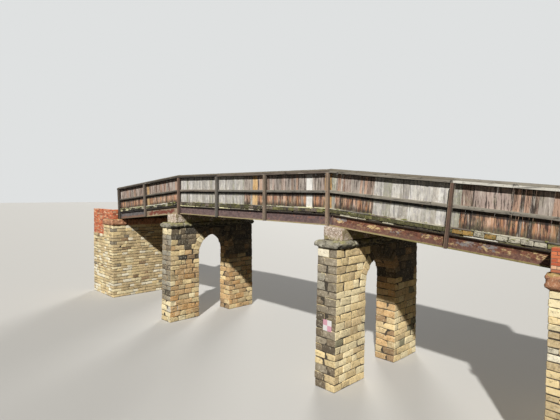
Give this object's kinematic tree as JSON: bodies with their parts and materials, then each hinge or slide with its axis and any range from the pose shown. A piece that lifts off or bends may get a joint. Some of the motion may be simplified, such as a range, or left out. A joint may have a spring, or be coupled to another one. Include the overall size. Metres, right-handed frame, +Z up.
{
  "type": "wooden footbridge on stone piers",
  "caption": "Timber-sided footbridge with steel girders on arched stone piers and abutments, level in the middle and falling to both ends.",
  "frame": {"origin": "on the ground under the middle of the bridge", "axes": "+X along the bridge, +Y across it, away from the near parapet, +Z up"},
  "size_m": [27.4, 5.14, 6.9571],
  "materials": {
    "pier_sandstone": "coursed golden sandstone, sooty and weathered",
    "abutment_sandstone": "thin-coursed sandstone, mossy",
    "red_brick": "weathered red and orange brick",
    "cap_stone": "grey stone with rounded edges and lichen",
    "bearing_concrete": "pale pebbly concrete with rust stains",
    "rusty_steel": "flaking paint over purple-brown rust",
    "packing_timber": "dark weathered timber",
    "deck_timber": "mossy weathered timber",
    "parapet_boards": "weathered boards, grey to red-brown",
    "rail_timber": "grey weathered timber with moss"
  },
  "bodies": {
    "root": {"centre_boards_far": "parapet_boards", "centre_boards_near": "parapet_boards", "centre_cross_channels": "rusty_steel", "centre_deck": "deck_timber", "centre_girder_far": "rusty_steel", "centre_girder_near": "rusty_steel", "centre_inner_girders": "rusty_steel", "centre_packers": "packing_timber", "ledge_far": "rail_timber", "ledge_near": "rail_timber", "left_abutment_brickwork": "red_brick", "left_abutment_course": "cap_stone", "left_abutment_wall": "abutment_sandstone", "left_bearing_block": "bearing_concrete", "left_boards_far": "parapet_boards", "left_boards_near": "parapet_boards", "left_cross_channels": "rusty_steel", "left_deck": "deck_timber", "left_girder_far": "rusty_steel", "left_girder_near": "rusty_steel", "left_inner_girders": "rusty_steel", "left_packers": "packing_timber", "left_pier": "pier_sandstone", "left_pier_cap": "cap_stone", "mid_rail_far": "rail_timber", "mid_rail_near": "rail_timber", "posts_far": "rail_timber", "posts_near": "rail_timber", "right_abutment_brickwork": "red_brick", "right_abutment_course": "cap_stone", "right_abutment_wall": "abutment_sandstone", "right_bearing_block": "bearing_concrete", "right_boards_far": "parapet_boards", "right_boards_near": "parapet_boards", "right_cross_channels": "rusty_steel", "right_deck": "deck_timber", "right_girder_far": "rusty_steel", "right_girder_near": "rusty_steel", "right_inner_girders": "rusty_steel", "right_packers": "packing_timber", "right_pier": "pier_sandstone", "right_pier_cap": "cap_stone", "top_rail_far": "rail_timber", "top_rail_near": "rail_timber"}
  },
  "joints": []
}
